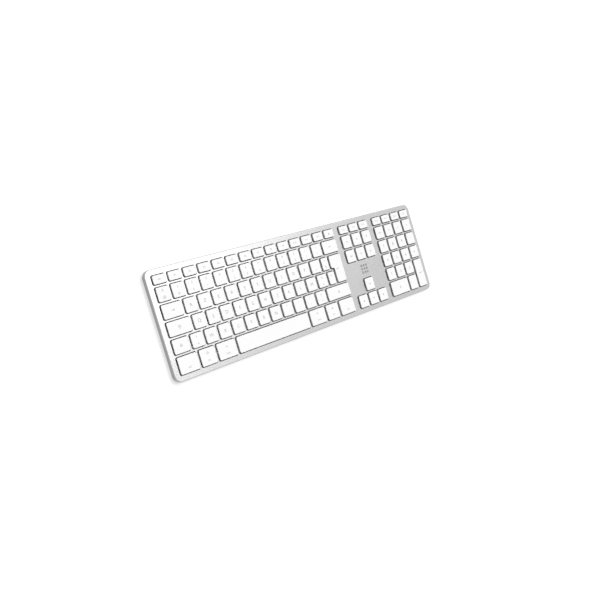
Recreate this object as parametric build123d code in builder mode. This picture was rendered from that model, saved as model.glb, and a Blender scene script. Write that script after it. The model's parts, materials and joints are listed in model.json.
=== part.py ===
"""Full-size slim wireless keyboard with a numeric keypad block, as separate pieces, in millimetres.

The frame: +X runs along the length to the keypad, +Y to the rear edge, +Z up. The origin is under
the middle of the plate, on the surface that the feet stand on.
"""

import math
import os
from collections import namedtuple

from build123d import *

# layout of the keys
UNIT = 19.0  # pitch of a one-unit key
WEB = 1.5  # plate left between two windows
GAP = 1.05  # from a key cap to its window's edge
BLOCK_GAP = 7.7  # extra plate between two blocks of keys
ROW_DEPTHS = [13.05, 19.0, 19.0, 19.0, 19.0, 22.0]  # rear row first
MAIN_UNITS = 14.5
NAV_UNITS = 3
PAD_UNITS = 4
FUNCTION_KEYS = 14
MARGIN_X = 6.6  # plate edge to the first window
MARGIN_Y = 6.15
WINDOW_RADIUS = 2.2
CAP_RADIUS = 1.6

# heights above the standing surface
FOOT_RECESS = 0.4
COVER_BOTTOM = 1.0
COVER_TOP = 2.2
WALL_BOTTOM = 1.2
BOARD_BOTTOM = 2.4
BOARD_TOP = 3.0
BASE_BOTTOM = 3.2
BASE_TOP = 3.6
HOOK_TOP = 4.2
FILM = 0.15  # one printed film
FILM_TOP = BASE_TOP + 2 * FILM
CEILING = 5.5  # underside of the top plate
PLATE_TOP = 6.7
CAP_BOTTOM = 5.7
CAP_CEILING = 7.2
CAP_TOP = 8.5
DOME_TOP = 6.85
BOSS_BOTTOM = 6.9

# top plate and bottom cover
PLATE_RADIUS = 8.5
WALL = 1.9
COVER_INSET = 1.0
REBATE_INSET = 0.9
REBATE_TOP = 2.3
EDGE_ROUND = 1.1
SCREW_BOSS_RADIUS = 1.75
SCREW_BOSS_EDGE = 3.5  # boss centre to the plate's edge
SCREW_BOSS_CORNER = 5.0
SCREW_HOLE_RADIUS = 0.85
SCREW_RADIUS = 0.78
SCREW_HEAD_RADIUS = 1.6
SCREW_HEAD = 0.55
SCREW_TIP = 5.0
RECESS_LENGTH = 1.7
RECESS_WIDTH = 0.4
COVER_ROUND = 0.5
POST_RADIUS = 1.5
FOOT_LENGTH = 34.0
FOOT_WIDTH = 8.0

# key mechanism
SKIRT = 1.0
CAP_EDGE = 0.3
BAR = 0.9
LEVER = 0.7  # thickness of a scissor frame
LEVER_CLEAR = 0.1  # from a frame's tip to the films and to the cap
FRAME_CLEAR = 0.4  # how much narrower the inner frame is than the space in the outer one
PIVOT_RADIUS = 0.3
PIVOT_LENGTH = 0.15
DOME_FLANGE = 2.2
DOME_LIP = 0.3  # width of the flat ring at the dome's foot
DOME_FOOT = 0.25  # thickness of that ring
DOME_NECK = 1.5
DOME_CROWN = 0.7  # height of the straight part at the top
DOME_ROOF = 0.9  # thickness of the solid top
DOME_WALL = 0.35
HOOK_WIDTH = 5.0
HOOK_THICK = 0.5
HOOK_CLEAR = 0.15
SLOT_CLEAR = 0.7  # how much a film's slot exceeds its hook, both ways
LUG_WIDTH = 4.4
LUG_THICK = 0.6
LUG_HEIGHT = 0.8
BOSS_RADIUS = 1.9
FRAME_SIZE = (11.6, 9.6)  # outer scissor frame: along its pivot and across it
COMPACT_FRAME_SIZE = (8.2, 6.4)  # the same under a shallow or narrow cap
WIRE_RADIUS = 0.4
WIRE_SIDE = 6.0  # from the key's middle line to the long run of its stabiliser
WIRE_FOOT = 1.0  # from that line to the wire's low ends, the other way
WIRE_HOOK = 1.5  # length of a low end
WIRE_CLEAR = 0.05
WIRE_BEND = 0.7
WIRE_END = 2.95  # window edge to the wire's leg

# base plate and films
SHEET_EDGE = 1.0  # beyond the outermost windows
SHEET_RADIUS = 4.0
BOSS_CLEAR = 0.45  # round a screw boss
BAY_RADIUS = 1.5

# electronics
BAY = (-29.5, -17.6, 30.0, 4.6)  # opening in the base plate, X from the navigation block's middle
STEM = (17.5, 29.0)  # the board's arm into that opening, X from the same middle
BOARD_DEPTH = 11.0  # of the board's strip along the rear edge
RADIO_CHIP = (7.0, 5.0)
CHARGER_CHIP = (4.0, 4.0)
FILM_CONNECTOR = (9.0, 1.6)
BATTERY_SOCKET = (2.6, 3.6)
BATTERY = (44.0, 21.0, 2.9)
USB = (8.94, 3.16, 7.3)
USB_WALL = 0.3
USB_BACK = 1.0  # thickness of the socket's closed end
USB_INSET = 0.3  # from the plate's rear face to the socket's mouth
USB_Z = 3.85
SWITCH_Z = 3.9
SWITCH_TRAVEL = 2.4
SWITCH_LENGTH = 8.0
SWITCH_DEPTH = 6.2  # plate's rear edge to the front of the switch housing
CHIP_HEIGHT = 1.2
CONNECTOR_HEIGHT = 1.0
BOARD_HOLE_RADIUS = 1.0
BOARD_SCREW_HEAD = 0.5
LEAD_RADIUS = 0.4
LEAD_SPACING = 1.6
TAIL_WIDTH = 8.0
TONGUE = (6.7, 0.7, 5.0)
SLOT_END = 4.2  # how much longer than the switch's travel its slot in the wall is
SLOT_HEIGHT = 1.8
SLIDER = (3.4, 1.4)
SLIDER_INSET = 0.25  # from the plate's rear face to the slider's
GRIP_PITCH = 0.8
GRIP = 0.25  # width and depth of a grip groove

plate_x = (MAIN_UNITS + NAV_UNITS + PAD_UNITS) * UNIT + 2 * BLOCK_GAP - WEB + 2 * MARGIN_X
plate_y = sum(ROW_DEPTHS) - WEB + 2 * MARGIN_Y
half_x = plate_x / 2
half_y = plate_y / 2

main_x = -half_x + MARGIN_X
nav_x = main_x + MAIN_UNITS * UNIT + BLOCK_GAP
pad_x = nav_x + NAV_UNITS * UNIT + BLOCK_GAP
nav_middle = nav_x + (NAV_UNITS * UNIT - WEB) / 2
first_gap_x = nav_x - (WEB + BLOCK_GAP) / 2
second_gap_x = pad_x - (WEB + BLOCK_GAP) / 2
row_rear = [half_y - MARGIN_Y - sum(ROW_DEPTHS[:row]) for row in range(len(ROW_DEPTHS))]
row_front = [rear - depth + WEB for rear, depth in zip(row_rear, ROW_DEPTHS)]

os.makedirs("parts", exist_ok=True)


def save(piece, label):
    """Name a finished piece and write it."""
    piece.label = label
    export_step(piece, f"parts/{label}.step")


# ---------------------------------------------------------------- the keys and where they are

Key = namedtuple("Key", "node x y width depth")


def key(node, block_x, start, units, row, last_row=None, front=None):
    """A key's window: units counts from the block's left, rows from the rear."""
    left = block_x + start * UNIT
    width = units * UNIT - WEB
    rear = row_rear[row]
    low = row_front[row if last_row is None else last_row] if front is None else front
    return Key(node, left + width / 2, (rear + low) / 2, width, rear - low)


def row_of(block_x, row, nodes_and_units, start=0.0):
    """The keys of one row, from its left end."""
    made = []
    for node, units in nodes_and_units:
        made.append(key(node, block_x, start, units, row))
        start += units
    return made


def main_block():
    function_units = MAIN_UNITS / FUNCTION_KEYS
    rows = [
        [("function_row_keys", function_units)] * FUNCTION_KEYS,
        [("number_row_keys", 1)] * 13 + [("backspace_key", 1.5)],
        [("tab_key", 1.5)] + [("upper_letter_keys", 1)] * 11 + [("upper_letter_keys", 0.75)],
        [("caps_lock_key", 1.75)] + [("home_letter_keys", 1)] * 11 + [("home_letter_keys", 0.75)],
        [("left_shift_key", 1.25)] + [("lower_letter_keys", 1)] * 11 + [("right_shift_key", 2.25)],
        [("modifier_keys", 1.5), ("modifier_keys", 1.25), ("modifier_keys", 1.5), ("space_bar", 6)]
        + [("modifier_keys", 1.5), ("modifier_keys", 1.25), ("modifier_keys", 1.5)],
    ]
    return [k for row, keys in enumerate(rows) for k in row_of(main_x, row, keys)]


def nav_block():
    made = [k for row in range(3) for k in row_of(nav_x, row, [("nav_keys", 1)] * NAV_UNITS)]
    arrow_depth = UNIT - WEB
    up_front = row_front[5] + UNIT
    for column, name in enumerate(["arrow_left_key", "arrow_down_key", "arrow_right_key"]):
        left = nav_x + column * UNIT
        middle = (left + arrow_depth / 2, row_front[5] + arrow_depth / 2)
        made.append(Key(name, *middle, arrow_depth, arrow_depth))
    made.append(Key("arrow_up_key", nav_middle, up_front + arrow_depth / 2, arrow_depth, arrow_depth))
    return made


def pad_block():
    rows = [
        ["pad_f1_key", "pad_f2_key", "pad_f3_key", "pad_f4_key"],
        ["pad_clear_key", "pad_equals_key", "pad_divide_key", "pad_multiply_key"],
        ["pad_7_key", "pad_8_key", "pad_9_key", "pad_minus_key"],
        ["pad_4_key", "pad_5_key", "pad_6_key", "pad_plus_key"],
        ["pad_1_key", "pad_2_key", "pad_3_key"],
    ]
    made = []
    for row, names in enumerate(rows):
        made += row_of(pad_x, row, [(name, 1) for name in names])
    made += row_of(pad_x, 5, [("pad_0_key", 2), ("pad_point_key", 1)])
    made.append(key("pad_enter_key", pad_x, 3, 1, 4, last_row=5))
    return made


keys = main_block() + nav_block() + pad_block()

# the stepped Enter key: a 1.25 unit head in the third row, a one-unit leg in the fourth
enter_right = main_x + MAIN_UNITS * UNIT - WEB
enter_head_left = enter_right + WEB - 1.25 * UNIT
enter_leg_left = enter_right + WEB - UNIT
enter_step = row_front[2]
enter_corners = [
    (enter_head_left, row_rear[2]),
    (enter_right, row_rear[2]),
    (enter_right, row_front[3]),
    (enter_leg_left, row_front[3]),
    (enter_leg_left, enter_step),
    (enter_head_left, enter_step),
]
enter_middle = ((enter_leg_left + enter_right) / 2, (row_rear[2] + row_front[3]) / 2)


# ---------------------------------------------------------------- where the mechanisms sit

Unit = namedtuple("Unit", "x y turn compact")


def mechanisms(k):
    """One scissor unit under a key, or two under a very long one."""
    compact = k.depth < UNIT - WEB - 1 or k.width < UNIT - WEB - 1
    turn = 90 if k.depth > 1.5 * UNIT else 0
    spots = [-k.width / 4, k.width / 4] if k.width > 3 * UNIT else [0.0]
    return [Unit(k.x + dx, k.y, turn, compact) for dx in spots]


units = [unit for k in keys for unit in mechanisms(k)] + [Unit(*enter_middle, 90, False)]


def frame_size(compact):
    """Width along the pivot and length across it, of the outer scissor frame."""
    return COMPACT_FRAME_SIZE if compact else FRAME_SIZE


def frame_tilt(compact):
    """Angle at which the frame just fits between the films and the cap."""
    reach = (CAP_CEILING - FILM_TOP) / 2 - LEVER_CLEAR - LEVER / 2
    return math.degrees(math.asin(reach / (frame_size(compact)[1] / 2)))


def frame_reach(compact):
    """How far the tilted frame reaches along the base plate, from its middle."""
    tilt = math.radians(frame_tilt(compact))
    return frame_size(compact)[1] / 2 * math.cos(tilt) + LEVER / 2 * math.sin(tilt)


def spots(turn, compact, dx=0.0, dy=0.0):
    """Places of the units of one kind, or of a point beside each, dx and dy off its middle."""
    across = (-dy, dx) if turn else (dx, dy)
    chosen = [u for u in units if u.turn == turn and u.compact == compact]
    return [(u.x + across[0], u.y + across[1]) for u in chosen]


KINDS = [(0, False), (0, True), (90, False)]


def hook_places(turn, compact):
    """Middles of the two hooks of each unit of one kind."""
    offset = frame_reach(compact) + HOOK_CLEAR + HOOK_THICK / 2
    return spots(turn, compact, dy=offset) + spots(turn, compact, dy=-offset)


def hook_size(turn, extra=0.0):
    """Footprint of a hook, or with extra of the slot round it."""
    size = (HOOK_WIDTH + extra, HOOK_THICK + extra)
    return size[::-1] if turn else size


# ---------------------------------------------------------------- key caps


def cap_solid(outline, middles, turn, compact):
    """A key cap over an outline: rounded top edge, hollow below, a boss and two lugs at each unit."""
    side = frame_reach(compact) + HOOK_CLEAR + LUG_THICK / 2
    lug_offsets = [(side, 0), (-side, 0)] if turn else [(0, side), (0, -side)]
    lug_size = (LUG_THICK, LUG_WIDTH) if turn else (LUG_WIDTH, LUG_THICK)
    inside_top = (CAP_CEILING + CAP_TOP) / 2
    with BuildPart() as cap:
        with BuildSketch(Plane.XY.offset(CAP_BOTTOM)):
            add(outline)
        extrude(amount=CAP_TOP - CAP_BOTTOM)
        fillet(cap.faces().sort_by(Axis.Z)[-1].edges(), radius=CAP_EDGE)
        with BuildSketch(Plane.XY.offset(CAP_BOTTOM)):
            add(outline)
            offset(amount=-SKIRT, kind=Kind.INTERSECTION)
        extrude(amount=CAP_CEILING - CAP_BOTTOM, mode=Mode.SUBTRACT)
        for x, y in middles:
            with BuildSketch(Plane.XY.offset(BOSS_BOTTOM)):
                with Locations((x, y)):
                    Circle(BOSS_RADIUS)
            extrude(amount=inside_top - BOSS_BOTTOM)
            with BuildSketch(Plane.XY.offset(CAP_CEILING - LUG_HEIGHT)):
                with Locations(*[(x + dx, y + dy) for dx, dy in lug_offsets]):
                    Rectangle(*lug_size)
            extrude(amount=inside_top - CAP_CEILING + LUG_HEIGHT)
    return cap.part


def plain_cap(width, depth):
    """A rectangular cap for a window of this size, centred on the origin."""
    with BuildSketch() as outline:
        RectangleRounded(width - 2 * GAP, depth - 2 * GAP, CAP_RADIUS)
    middle = mechanisms(Key("", 0.0, 0.0, width, depth))
    return cap_solid(outline.sketch, [(u.x, u.y) for u in middle], middle[0].turn, middle[0].compact)


def sizes_in(chosen):
    """The window sizes among some keys, each with its keys' places."""
    found = {}
    for k in chosen:
        found.setdefault((round(k.width, 4), round(k.depth, 4)), []).append((k.x, k.y))
    return found


cap_shapes = {size: plain_cap(*size) for size in sizes_in(keys)}

for node in dict.fromkeys(k.node for k in keys):
    with BuildPart() as caps:
        for size, places in sizes_in([k for k in keys if k.node == node]).items():
            with Locations(*places):
                add(cap_shapes[size])
    save(caps.part, node)

with BuildSketch() as enter_window:
    with BuildLine():
        Polyline(*enter_corners, close=True)
    make_face()
    fillet(enter_window.vertices(), radius=WINDOW_RADIUS)

with BuildSketch() as enter_outline:
    with BuildLine():
        Polyline(*enter_corners, close=True)
    make_face()
    offset(amount=-GAP, kind=Kind.INTERSECTION)
    fillet(enter_outline.vertices(), radius=CAP_RADIUS)

enter_key = cap_solid(enter_outline.sketch, [enter_middle], 90, False)
save(enter_key, "enter_key")

# ---------------------------------------------------------------- top plate

gap_boss_y = [42.5, -5.0, -50.0]
boss_places = [(x, y) for x in (first_gap_x, second_gap_x) for y in gap_boss_y]
boss_places += [
    (side * (half_x - SCREW_BOSS_CORNER), end * (half_y - SCREW_BOSS_CORNER))
    for side in (-1, 1)
    for end in (-1, 1)
]
boss_places += [(x, end * (half_y - SCREW_BOSS_EDGE)) for x in (-140.0, -15.0) for end in (-1, 1)]
stud_places = [(x, y) for x in (first_gap_x, second_gap_x) for y in (20.0, -28.0)]

with BuildPart() as top_plate:
    with BuildSketch(Plane.XY.offset(WALL_BOTTOM)):
        RectangleRounded(plate_x, plate_y, PLATE_RADIUS)
    extrude(amount=PLATE_TOP - WALL_BOTTOM)
    fillet(top_plate.faces().sort_by(Axis.Z)[-1].edges(), radius=EDGE_ROUND)
    fillet(top_plate.faces().sort_by(Axis.Z)[0].edges(), radius=EDGE_ROUND / 3)
    with BuildSketch(Plane.XY.offset(WALL_BOTTOM)):
        RectangleRounded(plate_x - 2 * WALL, plate_y - 2 * WALL, PLATE_RADIUS - WALL)
    extrude(amount=CEILING - WALL_BOTTOM, mode=Mode.SUBTRACT)
    with BuildSketch(Plane.XY.offset(WALL_BOTTOM)):
        RectangleRounded(plate_x - 2 * REBATE_INSET, plate_y - 2 * REBATE_INSET, PLATE_RADIUS - REBATE_INSET)
    extrude(amount=REBATE_TOP - WALL_BOTTOM, mode=Mode.SUBTRACT)
    with BuildSketch(Plane.XY.offset(REBATE_TOP)):
        with Locations(*boss_places):
            Circle(SCREW_BOSS_RADIUS)
    extrude(amount=CEILING - REBATE_TOP)
    with BuildSketch(Plane.XY.offset(FILM_TOP)):
        with Locations(*stud_places):
            Circle(SCREW_BOSS_RADIUS)
    extrude(amount=CEILING - FILM_TOP)
    with BuildSketch(Plane.XY.offset(REBATE_TOP)):
        with Locations(*boss_places):
            Circle(SCREW_HOLE_RADIUS)
    extrude(amount=CEILING - REBATE_TOP, mode=Mode.SUBTRACT)
    with BuildSketch(Plane.XY.offset(CEILING)):
        for size, places in sizes_in(keys).items():
            with Locations(*places):
                RectangleRounded(*size, WINDOW_RADIUS)
        add(enter_window.sketch)
    extrude(amount=PLATE_TOP - CEILING, mode=Mode.SUBTRACT)
    with BuildSketch(Plane.XZ.offset(-half_y)):
        with Locations((second_gap_x, USB_Z)):
            SlotOverall(USB[0] + 0.4, USB[1] + 0.3)
        with Locations((first_gap_x, SWITCH_Z)):
            SlotOverall(SWITCH_TRAVEL + SLOT_END, SLOT_HEIGHT)
    extrude(amount=WALL + 0.1, mode=Mode.SUBTRACT)
save(top_plate.part, "top_plate")

# ---------------------------------------------------------------- bottom cover, feet and screws

foot_places = [(x, y) for x in (-half_x + 34, 0, half_x - 34) for y in (half_y - 12, -half_y + 12)]
post_columns = [-195.0, -158.0, -120.0, -82.0, -44.0, -6.0, 32.0, 156.0, 194.0]
post_places = [(x, y) for x in post_columns for y in (-42.0, -4.0, 34.0)]

with BuildPart() as bottom_cover:
    with BuildSketch(Plane.XY.offset(COVER_BOTTOM)):
        RectangleRounded(plate_x - 2 * COVER_INSET, plate_y - 2 * COVER_INSET, PLATE_RADIUS - COVER_INSET)
    extrude(amount=COVER_TOP - COVER_BOTTOM)
    fillet(bottom_cover.faces().sort_by(Axis.Z)[0].edges(), radius=COVER_ROUND)
    with BuildSketch(Plane.XY.offset(COVER_TOP)):
        with Locations(*post_places):
            Circle(POST_RADIUS)
    extrude(amount=BASE_BOTTOM - COVER_TOP)
    with BuildSketch(Plane.XY.offset(COVER_BOTTOM)):
        with Locations(*foot_places):
            SlotOverall(FOOT_LENGTH, FOOT_WIDTH)
    extrude(amount=FOOT_RECESS, mode=Mode.SUBTRACT)
    with BuildSketch(Plane.XY.offset(COVER_BOTTOM)):
        with Locations(*boss_places):
            Circle(SCREW_HEAD_RADIUS + 0.15)
    extrude(amount=SCREW_HEAD + 0.1, mode=Mode.SUBTRACT)
    with BuildSketch(Plane.XY.offset(COVER_BOTTOM)):
        with Locations(*boss_places):
            Circle(SCREW_HOLE_RADIUS + 0.1)
    extrude(amount=COVER_TOP - COVER_BOTTOM, mode=Mode.SUBTRACT)
save(bottom_cover.part, "bottom_cover")

with BuildPart() as rubber_feet:
    with BuildSketch():
        with Locations(*foot_places):
            SlotOverall(FOOT_LENGTH - 0.3, FOOT_WIDTH - 0.3)
    extrude(amount=COVER_BOTTOM + FOOT_RECESS)
    fillet(rubber_feet.faces().group_by(Axis.Z)[0].edges(), radius=0.35)
save(rubber_feet.part, "rubber_feet")


def screws(places, head_bottom, tip):
    """Screws with a round head below, a cross recess in it and a plain shank."""
    with BuildPart() as group:
        with BuildSketch(Plane.XY.offset(head_bottom)):
            with Locations(*places):
                Circle(SCREW_HEAD_RADIUS)
        extrude(amount=SCREW_HEAD)
        with BuildSketch(Plane.XY.offset(head_bottom + SCREW_HEAD)):
            with Locations(*places):
                Circle(SCREW_RADIUS)
        extrude(amount=tip - head_bottom - SCREW_HEAD)
        with BuildSketch(Plane.XY.offset(head_bottom)):
            with Locations(*places):
                Rectangle(RECESS_LENGTH, RECESS_WIDTH)
                Rectangle(RECESS_WIDTH, RECESS_LENGTH)
        extrude(amount=SCREW_HEAD / 2, mode=Mode.SUBTRACT)
    return group.part


save(screws(boss_places, COVER_BOTTOM + 0.1, SCREW_TIP), "case_screws")

# ---------------------------------------------------------------- base plate and films


def sheet(bottom, thickness, slots):
    """A flat sheet over the whole key field, open at the bay, the bosses, the socket and the switch."""
    with BuildPart() as made:
        with BuildSketch(Plane.XY.offset(bottom)):
            RectangleRounded(
                plate_x - 2 * MARGIN_X + 2 * SHEET_EDGE, plate_y - 2 * MARGIN_Y + 2 * SHEET_EDGE, SHEET_RADIUS
            )
            with Locations((nav_middle + (BAY[0] + BAY[2]) / 2, (BAY[1] + BAY[3]) / 2)):
                RectangleRounded(BAY[2] - BAY[0], BAY[3] - BAY[1], BAY_RADIUS, mode=Mode.SUBTRACT)
            with Locations(*boss_places):
                Circle(SCREW_BOSS_RADIUS + BOSS_CLEAR, mode=Mode.SUBTRACT)
            with Locations((second_gap_x, half_y - USB[2] / 2)):
                Rectangle(USB[0] + 1.0, USB[2] + 2.0, mode=Mode.SUBTRACT)
            with Locations((first_gap_x, half_y - SWITCH_DEPTH / 2)):
                Rectangle(SWITCH_LENGTH + 1.2, SWITCH_DEPTH + 1.0, mode=Mode.SUBTRACT)
            if slots:
                for turn, compact in KINDS:
                    with Locations(*hook_places(turn, compact)):
                        Rectangle(*hook_size(turn, SLOT_CLEAR), mode=Mode.SUBTRACT)
        extrude(amount=thickness)
    return made.part


with BuildPart() as base_plate:
    add(sheet(BASE_BOTTOM, BASE_TOP - BASE_BOTTOM, False))
    with BuildSketch(Plane.XY.offset(BASE_TOP)):
        for turn, compact in KINDS:
            with Locations(*hook_places(turn, compact)):
                Rectangle(*hook_size(turn))
    extrude(amount=HOOK_TOP - BASE_TOP)
save(base_plate.part, "base_plate")

save(sheet(BASE_TOP, FILM, True), "membrane_lower")
save(sheet(BASE_TOP + FILM, FILM, True), "membrane_upper")

# ---------------------------------------------------------------- domes, scissor frames, stabilisers

with BuildPart() as dome:
    with BuildSketch(Plane.XZ):
        with BuildLine():
            Polyline(
                (0, DOME_TOP),
                (DOME_NECK, DOME_TOP),
                (DOME_NECK, DOME_TOP - DOME_CROWN),
                (DOME_FLANGE - DOME_LIP, FILM_TOP + DOME_FOOT),
                (DOME_FLANGE, FILM_TOP + DOME_FOOT),
                (DOME_FLANGE, FILM_TOP),
                (DOME_FLANGE - DOME_LIP - DOME_WALL, FILM_TOP),
                (DOME_NECK - DOME_WALL, DOME_TOP - DOME_ROOF),
                (0, DOME_TOP - DOME_ROOF),
                close=True,
            )
        make_face()
    revolve(axis=Axis.Z)

with BuildPart() as rubber_domes:
    with Locations(*[(u.x, u.y) for u in units]):
        add(dome.part)
save(rubber_domes.part, "rubber_domes")


def scissor_frame(width, length, tilt, pins):
    """A rectangular frame about the origin, tilted about X, with pivot pins on its sides if asked."""
    with BuildPart() as frame:
        with BuildSketch(Plane.XY.rotated((tilt, 0, 0)).offset(-LEVER / 2)):
            Rectangle(width, length)
            Rectangle(width - 2 * BAR, length - 2 * BAR, mode=Mode.SUBTRACT)
        extrude(amount=LEVER)
        for side in pins:
            with BuildSketch(Plane.YZ.offset(side * width / 2)):
                Circle(PIVOT_RADIUS)
            extrude(amount=side * PIVOT_LENGTH)
    return frame.part


outer_frames = {}
inner_frames = {}
for compact in (False, True):
    width, length = frame_size(compact)
    tilt = frame_tilt(compact)
    outer_frames[compact] = scissor_frame(width, length, tilt, [])
    inner_frames[compact] = scissor_frame(width - 2 * BAR - FRAME_CLEAR, length, -tilt, [-1, 1])


def scissor_group(shapes):
    """One frame at each key's mechanism, half way between the films and the cap."""
    with BuildPart() as group:
        for turn, compact in KINDS:
            level = (FILM_TOP + CAP_CEILING) / 2
            places = [Location((x, y, level), (0, 0, turn)) for x, y in spots(turn, compact)]
            with Locations(*places):
                add(shapes[compact])
    return group.part


save(scissor_group(outer_frames), "scissor_outer_frames")
save(scissor_group(inner_frames), "scissor_inner_frames")


def stabiliser(x, y, length, along_y):
    """A bent wire: its long run is under the cap and its ends hook into the base plate."""
    high = CAP_CEILING - WIRE_RADIUS - WIRE_CLEAR
    low = FILM_TOP + WIRE_RADIUS + WIRE_CLEAR
    half = length / 2
    points = [
        (-half + WIRE_HOOK, -WIRE_FOOT, low),
        (-half, -WIRE_FOOT, low),
        (-half, WIRE_SIDE, high),
        (half, WIRE_SIDE, high),
        (half, -WIRE_FOOT, low),
        (half - WIRE_HOOK, -WIRE_FOOT, low),
    ]
    if along_y:
        points = [(-across, run, z) for run, across, z in points]
    points = [(x + dx, y + dy, z) for dx, dy, z in points]
    with BuildPart() as wire:
        with BuildLine() as path:
            FilletPolyline(*points, radius=WIRE_BEND)
        with BuildSketch(Plane(origin=path.wire() @ 0, z_dir=path.wire() % 0)):
            Circle(WIRE_RADIUS)
        sweep()
    return wire.part


STABILISED = ["space_bar", "caps_lock_key", "right_shift_key", "pad_0_key", "pad_enter_key"]

with BuildPart() as stabiliser_bars:
    for k in keys:
        if k.node in STABILISED:
            upright = k.depth > k.width
            add(stabiliser(k.x, k.y, max(k.width, k.depth) - 2 * WIRE_END, upright))
    add(stabiliser(*enter_middle, row_rear[2] - row_front[3] - 2 * WIRE_END, True))
save(stabiliser_bars.part, "stabiliser_bars")

# ---------------------------------------------------------------- electronics

board_rear = half_y - WALL - 0.4
board_front = board_rear - BOARD_DEPTH
stem_left = nav_middle + STEM[0]
stem_right = nav_middle + STEM[1]
socket_front = half_y - USB_INSET - USB[2]
board_screw_places = [(stem_left + 2.2, BAY[1] + 2.6), (stem_right - 2.2, BAY[1] + 2.6)]

with BuildPart() as controller_board:
    with BuildSketch(Plane.XY.offset(BOARD_BOTTOM)):
        with Locations(((first_gap_x + second_gap_x) / 2, (board_rear + board_front) / 2)):
            Rectangle(second_gap_x - first_gap_x + 9.0, board_rear - board_front)
        with Locations(((stem_left + stem_right) / 2, (board_front + BAY[1] + 0.6) / 2)):
            Rectangle(stem_right - stem_left, board_front - BAY[1] - 0.6)
        with Locations((second_gap_x, half_y - USB[2] / 2 - 0.3)):
            Rectangle(USB[0] + 0.3, USB[2] + 0.3, mode=Mode.SUBTRACT)
        with Locations(*board_screw_places):
            Circle(BOARD_HOLE_RADIUS, mode=Mode.SUBTRACT)
    extrude(amount=BOARD_TOP - BOARD_BOTTOM)
save(controller_board.part, "controller_board")

chip_x = (stem_left + stem_right) / 2 - 1.0
connector_y = BAY[3] - 3.0
header_y = -7.0
with BuildPart() as board_components:
    with BuildSketch(Plane.XY.offset(BOARD_TOP)):
        with Locations((chip_x, -1.8)):
            Rectangle(*RADIO_CHIP)
        with Locations((chip_x + 1.5, -10.0)):
            Rectangle(*CHARGER_CHIP)
    extrude(amount=CHIP_HEIGHT)
    with BuildSketch(Plane.XY.offset(BOARD_TOP)):
        with Locations((chip_x, connector_y + 0.6)):
            Rectangle(*FILM_CONNECTOR)
        with Locations((stem_left + 1.8, header_y)):
            Rectangle(*BATTERY_SOCKET)
    extrude(amount=CONNECTOR_HEIGHT)
save(board_components.part, "board_components")

with BuildPart() as board_screws:
    with BuildSketch(Plane.XY.offset(COVER_TOP)):
        with Locations(*board_screw_places):
            Circle(BOARD_HOLE_RADIUS - 0.2)
    extrude(amount=BOARD_TOP - COVER_TOP)
    with BuildSketch(Plane.XY.offset(BOARD_TOP)):
        with Locations(*board_screw_places):
            Circle(BOARD_HOLE_RADIUS + 0.4)
    extrude(amount=BOARD_SCREW_HEAD)
save(board_screws.part, "board_screws")

battery_x = nav_middle + BAY[0] + 1.0 + BATTERY[0] / 2
battery_y = (BAY[1] + BAY[3]) / 2
with BuildPart() as battery_pack:
    with BuildSketch(Plane.XY.offset(COVER_TOP)):
        with Locations((battery_x, battery_y)):
            RectangleRounded(BATTERY[0], BATTERY[1], 1.0)
    extrude(amount=BATTERY[2])
    fillet(battery_pack.edges().filter_by(Axis.Z, reverse=True), radius=0.3)
save(battery_pack.part, "battery_pack")

lead_start = battery_x + BATTERY[0] / 2
with BuildPart() as battery_leads:
    for side in (-LEAD_SPACING / 2, LEAD_SPACING / 2):
        with BuildSketch(Plane.YZ.offset(lead_start)):
            with Locations((header_y + side, BOARD_TOP + CONNECTOR_HEIGHT / 2)):
                Circle(LEAD_RADIUS)
        extrude(amount=stem_left + 0.5 - lead_start)
save(battery_leads.part, "battery_leads")

tail_top = BASE_TOP + FILM
tail_end = connector_y + 1.4
tail_start = BAY[3]
with BuildPart() as membrane_tail:
    with BuildSketch(Plane.YZ.offset(chip_x - TAIL_WIDTH / 2)):
        with BuildLine():
            Polyline(
                (tail_start, BASE_TOP),
                (tail_start, tail_top),
                (tail_start - 0.4, tail_top),
                (tail_end, tail_top - 0.1),
                (tail_end, tail_top - 0.1 - FILM),
                (tail_start - 0.4, BASE_TOP),
                close=True,
            )
        make_face()
    extrude(amount=TAIL_WIDTH)
save(membrane_tail.part, "membrane_tail")

with BuildPart() as usb_socket:
    with BuildSketch(Plane.XZ.offset(-(half_y - USB_INSET))):
        with Locations((second_gap_x, USB_Z)):
            SlotOverall(USB[0], USB[1])
    extrude(amount=USB[2])
    with BuildSketch(Plane.XZ.offset(-(half_y - USB_INSET))):
        with Locations((second_gap_x, USB_Z)):
            SlotOverall(USB[0] - 2 * USB_WALL, USB[1] - 2 * USB_WALL)
    extrude(amount=USB[2] - USB_BACK, mode=Mode.SUBTRACT)
    with BuildSketch(Plane.XZ.offset(-(socket_front + 0.5 + TONGUE[2]))):
        with Locations((second_gap_x, USB_Z)):
            Rectangle(TONGUE[0], TONGUE[1])
    extrude(amount=TONGUE[2])
save(usb_socket.part, "usb_socket")

switch_rear = half_y - WALL - 0.5
with BuildPart() as power_switch_housing:
    with BuildSketch(Plane.XY.offset(BOARD_TOP)):
        with Locations((first_gap_x, (switch_rear + half_y - SWITCH_DEPTH) / 2)):
            Rectangle(SWITCH_LENGTH, SWITCH_DEPTH + switch_rear - half_y)
    extrude(amount=1.9)
    with BuildSketch(Plane.XZ.offset(-switch_rear)):
        with Locations((first_gap_x, SWITCH_Z)):
            Rectangle(SWITCH_TRAVEL + 2.0, 0.9)
    extrude(amount=2.2, mode=Mode.SUBTRACT)
save(power_switch_housing.part, "power_switch_housing")

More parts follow.
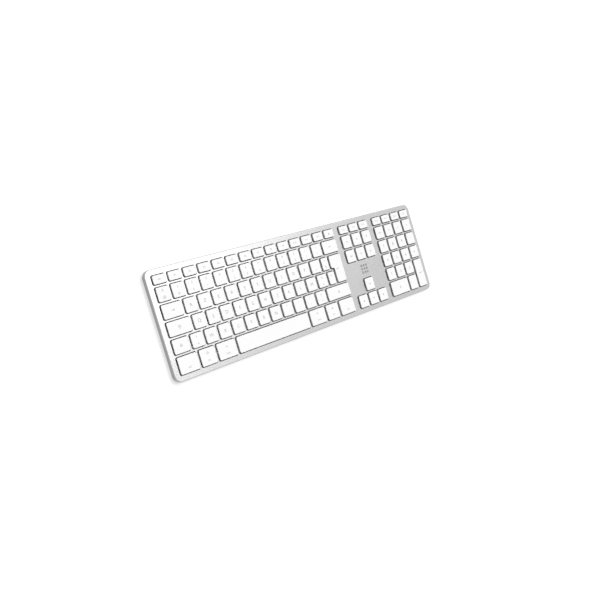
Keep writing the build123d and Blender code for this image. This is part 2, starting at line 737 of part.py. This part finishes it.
slider_x = first_gap_x - SWITCH_TRAVEL / 2
with BuildPart() as power_switch_slider:
    with BuildSketch(Plane.XZ.offset(-(half_y - SLIDER_INSET))):
        with Locations((slider_x, SWITCH_Z)):
            RectangleRounded(*SLIDER, 0.4)
    extrude(amount=WALL)
    with BuildSketch(Plane.XZ.offset(-(half_y - SLIDER_INSET))):
        with Locations(*[(slider_x + side * GRIP_PITCH, SWITCH_Z) for side in (-1, 0, 1)]):
            Rectangle(GRIP, SLIDER[1])
    extrude(amount=GRIP, mode=Mode.SUBTRACT)
    with BuildSketch(Plane.XZ.offset(-(half_y - SLIDER_INSET - WALL))):
        with Locations((slider_x, SWITCH_Z)):
            Rectangle(1.4, 0.6)
    extrude(amount=1.6)
save(power_switch_slider.part, "power_switch_slider")
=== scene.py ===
"""Looks of a slim full-size keyboard with a numeric keypad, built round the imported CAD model.

Lengths are in metres, in the model's own frame: +X to the keypad, +Y to the rear, +Z up.
"""

import json
import math

import bpy
import numpy as np
from mathutils import Matrix, Vector

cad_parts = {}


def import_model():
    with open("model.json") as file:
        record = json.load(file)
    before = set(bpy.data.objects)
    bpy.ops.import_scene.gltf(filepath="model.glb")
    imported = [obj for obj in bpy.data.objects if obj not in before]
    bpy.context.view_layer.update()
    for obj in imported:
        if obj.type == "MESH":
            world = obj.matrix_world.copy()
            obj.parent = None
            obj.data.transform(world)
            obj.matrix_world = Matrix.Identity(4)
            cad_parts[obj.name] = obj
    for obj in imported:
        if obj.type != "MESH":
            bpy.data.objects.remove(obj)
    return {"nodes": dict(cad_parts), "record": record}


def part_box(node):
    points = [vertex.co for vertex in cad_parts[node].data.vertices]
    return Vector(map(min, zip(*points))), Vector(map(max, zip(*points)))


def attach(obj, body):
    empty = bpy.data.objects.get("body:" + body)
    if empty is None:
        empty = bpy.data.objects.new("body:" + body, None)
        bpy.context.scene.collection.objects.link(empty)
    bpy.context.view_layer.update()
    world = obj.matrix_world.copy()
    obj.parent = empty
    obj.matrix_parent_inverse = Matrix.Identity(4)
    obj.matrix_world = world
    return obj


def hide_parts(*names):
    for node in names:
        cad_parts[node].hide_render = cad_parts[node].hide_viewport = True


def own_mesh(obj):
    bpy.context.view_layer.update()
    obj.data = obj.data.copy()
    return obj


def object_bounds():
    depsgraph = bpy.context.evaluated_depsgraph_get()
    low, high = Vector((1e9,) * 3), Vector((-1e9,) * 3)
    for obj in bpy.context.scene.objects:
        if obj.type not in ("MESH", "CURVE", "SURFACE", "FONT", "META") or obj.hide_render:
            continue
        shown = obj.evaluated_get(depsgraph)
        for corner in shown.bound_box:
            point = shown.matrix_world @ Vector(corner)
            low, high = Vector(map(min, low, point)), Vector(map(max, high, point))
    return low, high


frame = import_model()
cad_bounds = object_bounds()

MM = 0.001
record = frame["record"]
slot_of_node = {entry["node"]: entry["material_slot"] for entry in record["subparts"]}
base_colour = {entry["slot"]: tuple(entry["base_color"][:3]) for entry in record["materials"]}
scene = bpy.context.scene

# ---------------------------------------------------------------- materials

NOISE_LOW, NOISE_HIGH = 0.3, 0.7  # between these lies most of a noise pattern
CLOUD = 40.0  # cells per metre of the slow change of tone over a surface


def new_material(name):
    """A material with its shader, and the object's own coordinates to drive the patterns."""
    made = bpy.data.materials.new(name)
    made.use_nodes = True
    tree = made.node_tree
    return made, tree, tree.nodes["Principled BSDF"], tree.nodes.new("ShaderNodeTexCoord")


def noise(tree, place, scale, stretch=None):
    """A noise pattern over the object, scale in cells per metre, stretched along an axis if asked."""
    pattern = tree.nodes.new("ShaderNodeTexNoise")
    pattern.inputs["Scale"].default_value = scale
    pattern.inputs["Detail"].default_value = 3.0
    source = place.outputs["Object"]
    if stretch:
        mapping = tree.nodes.new("ShaderNodeMapping")
        mapping.inputs["Scale"].default_value = stretch
        tree.links.new(source, mapping.inputs["Vector"])
        source = mapping.outputs["Vector"]
    tree.links.new(source, pattern.inputs["Vector"])
    return pattern.outputs["Fac"]


def spread(tree, value, low, high):
    """Map a pattern from its usual range to a wanted one."""
    node = tree.nodes.new("ShaderNodeMapRange")
    node.inputs["From Min"].default_value = NOISE_LOW
    node.inputs["From Max"].default_value = NOISE_HIGH
    node.inputs["To Min"].default_value = low
    node.inputs["To Max"].default_value = high
    tree.links.new(value, node.inputs["Value"])
    return node.outputs["Result"]


def tint(tree, shader, value, colour, vary):
    """Colour that wanders a little, darker and lighter, with a pattern."""
    ramp = tree.nodes.new("ShaderNodeValToRGB")
    ramp.color_ramp.elements[0].position = NOISE_LOW
    ramp.color_ramp.elements[1].position = NOISE_HIGH
    ramp.color_ramp.elements[0].color = (*[max(c * (1 - vary), 0) for c in colour], 1)
    ramp.color_ramp.elements[1].color = (*[min(c * (1 + vary), 1) for c in colour], 1)
    tree.links.new(value, ramp.inputs["Fac"])
    tree.links.new(ramp.outputs["Color"], shader.inputs["Base Color"])


def relief(tree, shader, value, height):
    """Fine bumps whose height is in metres."""
    bump = tree.nodes.new("ShaderNodeBump")
    bump.inputs["Strength"].default_value = 1.0
    bump.inputs["Distance"].default_value = height
    tree.links.new(value, bump.inputs["Height"])
    tree.links.new(bump.outputs["Normal"], shader.inputs["Normal"])


def finish_material(name, colour, metallic=0.0, rough=(0.4, 0.5), grain=1500.0, height=0.01 * MM,
                    vary=0.02, stretch=None, coat=0.0, ior=1.5, through=0.0):
    """A moulded, drawn or blasted surface: a fine grain for bumps and a broad cloud for its tone."""
    made, tree, shader, place = new_material(name)
    fine = noise(tree, place, grain, stretch=stretch)
    broad = noise(tree, place, CLOUD)
    tint(tree, shader, broad, colour, vary)
    tree.links.new(spread(tree, fine, *rough), shader.inputs["Roughness"])
    relief(tree, shader, fine, height)
    shader.inputs["Metallic"].default_value = metallic
    shader.inputs["IOR"].default_value = ior
    shader.inputs["Coat Weight"].default_value = coat
    shader.inputs["Transmission Weight"].default_value = through
    return made


def slot_materials():
    """One material for each slot in the record."""
    looks = {
        "plate_aluminium": dict(metallic=1.0, rough=(0.18, 0.28), grain=3600, height=0.022 * MM, vary=0.012),
        "key_white": dict(rough=(0.38, 0.46), grain=2200, height=0.006 * MM, vary=0.006, ior=1.46),
        "cover_plastic": dict(rough=(0.5, 0.62), grain=1100, height=0.03 * MM, vary=0.015),
        "foot_rubber": dict(rough=(0.75, 0.9), grain=1400, height=0.02 * MM, vary=0.05),
        "base_steel": dict(metallic=1.0, rough=(0.3, 0.42), grain=900, vary=0.06, stretch=(1, 14, 1)),
        "contact_film": dict(rough=(0.2, 0.3), grain=300, vary=0.04, coat=0.3),
        "dome_silicone": dict(rough=(0.45, 0.55), grain=1500, vary=0.03, through=0.2),
        "scissor_plastic": dict(rough=(0.35, 0.45), grain=1500, vary=0.03),
        "wire_steel": dict(metallic=1.0, rough=(0.2, 0.32), grain=1500, vary=0.04),
        "board_laminate": dict(rough=(0.25, 0.35), grain=900, vary=0.12, coat=0.4),
        "component_black": dict(rough=(0.4, 0.55), grain=1800, vary=0.15),
        "screw_steel": dict(metallic=1.0, rough=(0.22, 0.34), grain=1500, vary=0.04),
        "battery_pouch": dict(metallic=1.0, rough=(0.25, 0.4), grain=260, height=0.05 * MM, vary=0.05),
        "lead_insulation": dict(rough=(0.4, 0.5), grain=1500, vary=0.05),
        "socket_steel": dict(metallic=1.0, rough=(0.14, 0.24), grain=900, vary=0.03, stretch=(1, 12, 1)),
        "switch_black": dict(rough=(0.4, 0.5), grain=1500, vary=0.1),
        "switch_white": dict(rough=(0.4, 0.5), grain=1500, vary=0.02),
    }
    return {slot: finish_material(slot, base_colour[slot], **look) for slot, look in looks.items()}


materials = slot_materials()
INKS = {
    "legend_ink": finish_material("legend_ink", (0.36, 0.36, 0.365), rough=(0.5, 0.6), grain=3000, vary=0.05),
    "mark_ink": finish_material("mark_ink", (0.26, 0.26, 0.265), rough=(0.5, 0.6), grain=3000, vary=0.05),
}

for node, thing in frame["nodes"].items():
    thing.data.materials.clear()
    thing.data.materials.append(materials[slot_of_node[node]])

# ---------------------------------------------------------------- where each key cap is


def vertices_of(node):
    """A node's vertices as rows of an array."""
    mesh = frame["nodes"][node].data
    found = np.empty(len(mesh.vertices) * 3)
    mesh.vertices.foreach_get("co", found)
    return found.reshape(-1, 3)


def spans(values, gap):
    """Intervals that hold all values, split where two neighbours are more than gap apart."""
    ordered = np.unique(np.round(values, 6))
    breaks = np.flatnonzero(np.diff(ordered) > gap)
    return list(zip(ordered[np.r_[0, breaks + 1]], ordered[np.r_[breaks, len(ordered) - 1]]))


CORNER = 2.2 * MM  # more than a cap's rounded corner takes, and less than lies between two corners


def cap_boxes(node):
    """(left, right, front, rear) of each cap in a node, rear row first and left to right.

    A cap's lower rim has vertices only round its corners, so in a row they stand in pairs of sides.
    """
    points = vertices_of(node)
    low, high = points.min(0), points.max(0)
    if node == "enter_key":
        return [(low[0], high[0], low[1], high[1])]
    rims = points[points[:, 2] < low[2] + 0.1 * MM]
    ends = spans(rims[:, 1], CORNER)
    found = []
    for front, rear in [(a[0], b[1]) for a, b in zip(ends[0::2], ends[1::2])][::-1]:
        row = rims[(rims[:, 1] > front - CORNER) & (rims[:, 1] < rear + CORNER)]
        sides = spans(row[:, 0], CORNER)
        found += [(a[0], b[1], front, rear) for a, b in zip(sides[0::2], sides[1::2])]
    return found


key_nodes = [node for node, slot in slot_of_node.items() if slot == "key_white"]
caps = {node: cap_boxes(node) for node in key_nodes}
cap_top = max(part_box(node)[1].z for node in key_nodes)

# ---------------------------------------------------------------- printed legends

INK_DEPTH = 0.012 * MM
STROKE = 0.45  # line width of a drawn sign, in millimetres
LETTER = 5.6  # type size of a letter alone on its key
SMALL = 4.2  # type size where two signs share a key
WORD = 3.3  # type size of a short word
SHARE = 3.8  # how far two signs on a key stand from its middle


def arrow(angle, reach=1.6, head=1.0, bar=False):
    """Strokes of an arrow that points at an angle, with a stop bar at its tip if asked."""
    lines = [[(-reach, 0), (reach, 0)], [(reach - head, head), (reach, 0), (reach - head, -head)]]
    if bar:
        lines.append([(reach + 0.5, head), (reach + 0.5, -head)])
    turn = Matrix.Rotation(math.radians(angle), 2)
    return [([tuple(turn @ Vector(point)) for point in line], False) for line in lines]


def wedge(angle, half=1.3):
    """A filled triangle that points at an angle."""
    turn = Matrix.Rotation(math.radians(angle), 2)
    return [tuple(turn @ Vector(point)) for point in [(half, 0), (-half * 0.7, half), (-half * 0.7, -half)]]


SHIFT = [(0, 1.7), (1.6, 0), (0.75, 0), (0.75, -1.2), (-0.75, -1.2), (-0.75, 0), (-1.6, 0)]
SIGNS = {
    "<tab>": arrow(0, reach=1.8, bar=True),
    "<back>": arrow(180, reach=2.0),
    "<enter>": [
        ([(1.9, 1.3), (1.9, -0.3), (-1.9, -0.3)], False),
        ([(-0.9, 0.6), (-1.9, -0.3), (-0.9, -1.2)], False),
    ],
    "<shift>": [(SHIFT, True)],
    "<caps>": [([(x, y + 0.6) for x, y in SHIFT], True), ([(-0.9, -1.6), (0.9, -1.6)], False)],
    "<eject>": [([(0, 1.1), (1.3, -0.4), (-1.3, -0.4)], True), ([(-1.4, -1.2), (1.4, -1.2)], False)],
    "<diamond>": [([(0, 1.4), (1.4, 0), (0, -1.4), (-1.4, 0)], True)],
    "<home>": arrow(135, reach=1.3, head=0.9),
    "<end>": arrow(-45, reach=1.3, head=0.9),
    "<page up>": arrow(90, reach=1.3, head=0.8, bar=True),
    "<page down>": arrow(-90, reach=1.3, head=0.8, bar=True),
}
WEDGES = {"<right>": wedge(0), "<up>": wedge(90), "<left>": wedge(180), "<down>": wedge(-90)}


def alone(text, size=LETTER):
    return [(text, 0.0, size)]


def pair(above, below, size=SMALL):
    return [(above, SHARE, size), (below, -SHARE, size)]


def row_of_letters(letters):
    return [alone(letter) for letter in letters]


UNDER_DIGITS = "&\u00e9\"'(\u00a7\u00e8!\u00e7\u00e0"
LEGENDS = {
    "function_row_keys": [alone("esc", WORD)]
    + [alone(f"F{n}", WORD) for n in range(1, 13)]
    + [alone("<eject>")],
    "number_row_keys": [pair("#", "@")]
    + [pair(above, below) for above, below in zip("1234567890", UNDER_DIGITS)]
    + [pair("\u00b0", ")"), pair("_", "-")],
    "backspace_key": [alone("<back>")],
    "tab_key": [alone("<tab>")],
    "upper_letter_keys": row_of_letters("AZERTYUIOP") + [pair("\u00a8", "^"), pair("*", "$")],
    "caps_lock_key": [alone("<caps>")],
    "home_letter_keys": row_of_letters("QSDFGHJKLM") + [pair("%", "\u00f9"), pair("\u00a3", "`")],
    "left_shift_key": [alone("<shift>")],
    "lower_letter_keys": [pair(">", "<")] + row_of_letters("WXCVBN")
    + [pair("?", ","), pair(".", ";"), pair("/", ":"), pair("+", "=")],
    "right_shift_key": [alone("<shift>")],
    "modifier_keys": [
        [("ctrl", -SHARE, WORD)],
        [("alt", -SHARE, WORD), ("<diamond>", SHARE, WORD)],
        [("cmd", -SHARE, WORD), ("<end>", SHARE, WORD)],
        [("cmd", -SHARE, WORD), ("<home>", SHARE, WORD)],
        [("alt", -SHARE, WORD), ("<diamond>", SHARE, WORD)],
        [("ctrl", -SHARE, WORD)],
    ],
    "space_bar": [[]],
    "enter_key": [alone("<enter>")],
    "nav_keys": [alone(f"F{n}", WORD) for n in range(13, 16)]
    + [alone("fn", SMALL), alone("<home>"), alone("<page up>")]
    + [alone("del", SMALL), alone("<end>"), alone("<page down>")],
    "arrow_up_key": [alone("<up>")],
    "arrow_left_key": [alone("<left>")],
    "arrow_down_key": [alone("<down>")],
    "arrow_right_key": [alone("<right>")],
    "pad_clear_key": [alone("clear", WORD)],
    "pad_equals_key": [alone("=")],
    "pad_divide_key": [alone("/")],
    "pad_multiply_key": [alone("*")],
    "pad_minus_key": [alone("-")],
    "pad_plus_key": [alone("+")],
    "pad_point_key": [alone(".")],
    "pad_enter_key": [alone("<enter>")],
}
for digit in "0123456789":
    LEGENDS[f"pad_{digit}_key"] = [alone(digit)]
for number in range(1, 5):
    LEGENDS[f"pad_f{number}_key"] = [alone(f"F{number + 15}", WORD)]


class Print:
    """Flat raised ink: outlines and letters gathered into one thin mesh."""

    def __init__(self):
        self.points = []
        self.faces = []

    def put(self, points, faces, x, y, level):
        start = len(self.points)
        self.points += [(px + x, py + y, pz + level) for px, py, pz in points]
        self.faces += [tuple(start + i for i in face) for face in faces]

    def prism(self, outline, x, y, level):
        """A filled outline in millimetres, given in turn."""
        count = len(outline)
        points = [(px * MM, py * MM, side * INK_DEPTH) for side in (-1, 1) for px, py in outline]
        faces = [tuple(range(count))[::-1], tuple(range(count, 2 * count))]
        faces += [(i, (i + 1) % count, count + (i + 1) % count, count + i) for i in range(count)]
        self.put(points, faces, x, y, level)

    def stroke(self, line, closed, x, y, level):
        """A line of even width, as one short prism for each of its runs, which meet in mitres."""
        left, right = edges_of_line(line, closed)
        runs = len(line) if closed else len(line) - 1
        for i in range(runs):
            j = (i + 1) % len(line)
            self.prism([left[i], right[i], right[j], left[j]], x, y, level)

    def text(self, words, size, x, y, level):
        points, faces = letters(words, size)
        self.put(points, faces, x, y, level)

    def piece(self, name, body, ink):
        mesh = bpy.data.meshes.new(name)
        mesh.from_pydata(self.points, [], self.faces)
        mesh.materials.append(INKS[ink])
        made = bpy.data.objects.new(name, mesh)
        scene.collection.objects.link(made)
        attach(made, body)
        return made


def edges_of_line(line, closed):
    """The two edges of a line of the stroke width, mitred at its corners."""
    points = [Vector(p) for p in line]
    left, right = [], []
    for i, point in enumerate(points):
        before = points[i - 1] if i or closed else None
        after = points[(i + 1) % len(points)] if i + 1 < len(points) or closed else None
        ways = [(point - before).normalized()] if before is not None else []
        ways += [(after - point).normalized()] if after is not None else []
        normals = [Vector((-way.y, way.x)) for way in ways]
        middle = sum(normals, Vector((0, 0))).normalized()
        out = middle * (STROKE / 2 / max(middle.dot(normals[0]), 0.3))
        left.append(tuple(point + out))
        right.append(tuple(point - out))
    return left, right


def letters(words, size):
    """A solid mesh of some text, centred on its own box, with the size in millimetres."""
    curve = bpy.data.curves.new("type", "FONT")
    curve.body = words
    curve.size = size * MM
    curve.extrude = INK_DEPTH
    curve.resolution_u = 4
    holder = bpy.data.objects.new("type", curve)
    mesh = bpy.data.meshes.new_from_object(holder)
    found = np.array([v.co for v in mesh.vertices]).reshape(-1, 3)
    middle = (found.min(0) + found.max(0)) / 2
    faces = [tuple(face.vertices) for face in mesh.polygons]
    bpy.data.objects.remove(holder)
    bpy.data.curves.remove(curve)
    bpy.data.meshes.remove(mesh)
    return [tuple(p) for p in found - (middle[0], middle[1], 0)], faces


def print_legends(node):
    """All the legends on the caps of one node, as one piece that moves with them."""
    printed = Print()
    for (left, right, front, rear), marks in zip(caps[node], LEGENDS[node], strict=True):
        x = (left + right) / 2
        for sign, offset, size in marks:
            y = (front + rear) / 2 + offset * MM
            if sign in SIGNS:
                for line, closed in SIGNS[sign]:
                    printed.stroke(line, closed, x, y, cap_top)
            elif sign in WEDGES:
                printed.prism(WEDGES[sign], x, y, cap_top)
            else:
                printed.text(sign, size, x, y, cap_top)
    if printed.points:
        printed.piece(f"legend.{node}", node, "legend_ink")


for node in key_nodes:
    print_legends(node)


def keypad_mark():
    """A plain sign of nine small squares, printed on the plate below the navigation keys."""
    nav_low, nav_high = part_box("nav_keys")
    x = (nav_low.x + nav_high.x) / 2
    y = (nav_low.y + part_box("arrow_up_key")[1].y) / 2
    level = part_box("top_plate")[1].z
    printed = Print()
    half, pitch, cut = 1.45, 4.4, 0.45  # of a square with cut corners, in millimetres
    square = [(half, half - cut), (half - cut, half), (cut - half, half), (-half, half - cut)]
    square += [(-px, -py) for px, py in square]
    for column in (-1, 0, 1):
        for line in (-1, 0, 1):
            printed.prism(square, x + column * pitch * MM, y + line * pitch * MM, level)
    printed.piece("plate_mark", "case", "mark_ink")


keypad_mark()

# ---------------------------------------------------------------- mechanisms under the keys, split into one piece for each key or group of keys


def faces_under(node, boxes):
    """Which faces of a node lie under any of these caps."""
    mesh = frame["nodes"][node].data
    middles = np.empty(len(mesh.polygons) * 3)
    mesh.polygons.foreach_get("center", middles)
    middles = middles.reshape(-1, 3)
    inside = np.zeros(len(middles), bool)
    for left, right, front, rear in boxes:
        across = (middles[:, 0] > left) & (middles[:, 0] < right)
        inside |= across & (middles[:, 1] > front) & (middles[:, 1] < rear)
    return np.flatnonzero(inside)


def folding_piece(node, key_node):
    """The part of a node that sits under one key, or one group of keys, as a piece of its own on the case."""
    chosen = faces_under(node, caps[key_node])
    if not len(chosen):
        return
    mesh = frame["nodes"][node].data
    corners = [tuple(mesh.polygons[int(i)].vertices) for i in chosen]
    used = sorted({v for face in corners for v in face})
    renumber = {v: i for i, v in enumerate(used)}
    made_mesh = bpy.data.meshes.new(f"{node}.{key_node}")
    made_mesh.from_pydata(
        [tuple(mesh.vertices[v].co) for v in used], [], [tuple(renumber[v] for v in face) for face in corners]
    )
    made_mesh.materials.append(materials[slot_of_node[node]])
    made = bpy.data.objects.new(f"{node}.{key_node}", made_mesh)
    scene.collection.objects.link(made)
    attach(made, "case")
    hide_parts(node)
    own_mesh(made)


for moving in ("rubber_domes", "scissor_outer_frames", "scissor_inner_frames", "stabiliser_bars"):
    for node in key_nodes:
        folding_piece(moving, node)

# ---------------------------------------------------------------- camera, light and floor

standing_level = cad_bounds[0].z
plate_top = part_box("top_plate")[1].z
# the camera's place, and which way its right and its top point
CAMERA_PLACE = Vector((-0.6489, 0.0179, plate_top + 0.7150))
CAMERA_RIGHT = Vector((0.71335, -0.28599, 0.63979))
CAMERA_UP = Vector((0.23946, 0.95746, 0.16100))
CAMERA_LENS = 47.76
KEY_LIGHT = (0.35, 0.30, 0.89)  # the way to the main light and to the soft box that the plate mirrors
SKY_MIDDLE = (0.75, 0.0, 0.66)  # the middle of the broad light over the keypad end
# what reflections see: brightness by angle in degrees from a lobe's middle
SKY = [(180, 0.40), (150, 0.42), (125, 0.54), (90, 0.62), (45, 0.69), (0, 0.69)]
SOFT_BOX = [(180, 0.0), (23.5, 0.0), (22, 1.17), (0, 1.17)]
# each lamp's name, the way to it, its power and how many degrees across it is
LAMPS = [("key_light", KEY_LIGHT, 2.6, 36), ("sky_light", SKY_MIDDLE, 1.6, 110)]
FLOOR_GREY = (0.4, 0.4, 0.4)
FLOOR_GLOW = 0.62  # the floor's own light, which makes it as pale as what is behind it
FLOOR_HALF = 8.0  # half the length of its side


def camera():
    """A long view down the keyboard from above its left end, turned so that it stands diagonally."""
    back = CAMERA_RIGHT.cross(CAMERA_UP)
    made = bpy.data.objects.new("camera", bpy.data.cameras.new("camera"))
    made.data.sensor_width = 36
    made.data.lens = CAMERA_LENS
    made.data.clip_start = 0.01
    made.matrix_world = Matrix((CAMERA_RIGHT, CAMERA_UP, back)).transposed().to_4x4()
    made.location = CAMERA_PLACE
    scene.collection.objects.link(made)
    scene.camera = made


def soft_light(name, towards, power, width):
    """A distant light, width degrees across. Reflections don't see it: they see the world instead."""
    data = bpy.data.lights.new(name, "SUN")
    data.energy = power
    data.angle = math.radians(width)
    made = bpy.data.objects.new(name, data)
    made.rotation_euler = Vector(towards).to_track_quat("Z", "Y").to_euler()
    made.visible_glossy = False
    scene.collection.objects.link(made)


def lobe(tree, place, middle, levels):
    """Brightness that depends on the angle from a direction, by a list of degrees and levels."""
    towards = tree.nodes.new("ShaderNodeVectorMath")
    towards.operation = "DOT_PRODUCT"
    towards.inputs[1].default_value = Vector(middle).normalized()
    shift = tree.nodes.new("ShaderNodeMapRange")
    shift.inputs["From Min"].default_value = -1.0
    ramp = tree.nodes.new("ShaderNodeValToRGB")
    tree.links.new(place.outputs["Generated"], towards.inputs[0])
    tree.links.new(towards.outputs["Value"], shift.inputs["Value"])
    tree.links.new(shift.outputs["Result"], ramp.inputs["Fac"])
    elements = ramp.color_ramp.elements
    while len(elements) < len(levels):
        elements.new(0.5)
    for element, (angle, level) in zip(elements, levels):
        element.position = (1 + math.cos(math.radians(angle))) / 2
        element.color = (level, level, level, 1)
    return ramp.outputs["Color"]


def world():
    """What the metal mirrors: an even sky with one soft box in it. It is plain white to the eye."""
    made = bpy.data.worlds.new("studio")
    scene.world = made
    made.use_nodes = True
    made.cycles_visibility.diffuse = False
    tree = made.node_tree
    place = tree.nodes.new("ShaderNodeTexCoord")
    both = tree.nodes.new("ShaderNodeVectorMath")
    tree.links.new(lobe(tree, place, SKY_MIDDLE, SKY), both.inputs[0])
    tree.links.new(lobe(tree, place, KEY_LIGHT, SOFT_BOX), both.inputs[1])
    seen = tree.nodes.new("ShaderNodeMix")
    seen.data_type = "RGBA"
    seen.inputs["B"].default_value = (1, 1, 1, 1)
    tree.links.new(tree.nodes.new("ShaderNodeLightPath").outputs["Is Camera Ray"], seen.inputs["Factor"])
    tree.links.new(both.outputs["Vector"], seen.inputs["A"])
    tree.links.new(seen.outputs["Result"], tree.nodes["Background"].inputs["Color"])


def floor():
    """A plain pale floor at the level of the feet, lit from below too, unseen by glossy reflections."""
    corners = [(x * FLOOR_HALF, y * FLOOR_HALF, 0) for x, y in [(-1, -1), (1, -1), (1, 1), (-1, 1)]]
    mesh = bpy.data.meshes.new("floor")
    mesh.from_pydata(corners, [], [(0, 1, 2, 3)])
    made = bpy.data.objects.new("floor", mesh)
    made.location.z = standing_level - 0.02 * MM  # clear of the feet, so that no faces share a plane
    paper = finish_material("floor_paper", FLOOR_GREY, rough=(0.85, 0.95), vary=0.003)
    shader = paper.node_tree.nodes["Principled BSDF"]
    shader.inputs["Emission Color"].default_value = (1, 1, 1, 1)
    shader.inputs["Emission Strength"].default_value = FLOOR_GLOW
    mesh.materials.append(paper)
    made.visible_glossy = False
    scene.collection.objects.link(made)


camera()
world()
floor()
for lamp in LAMPS:
    soft_light(*lamp)
scene.view_settings.view_transform = "Standard"
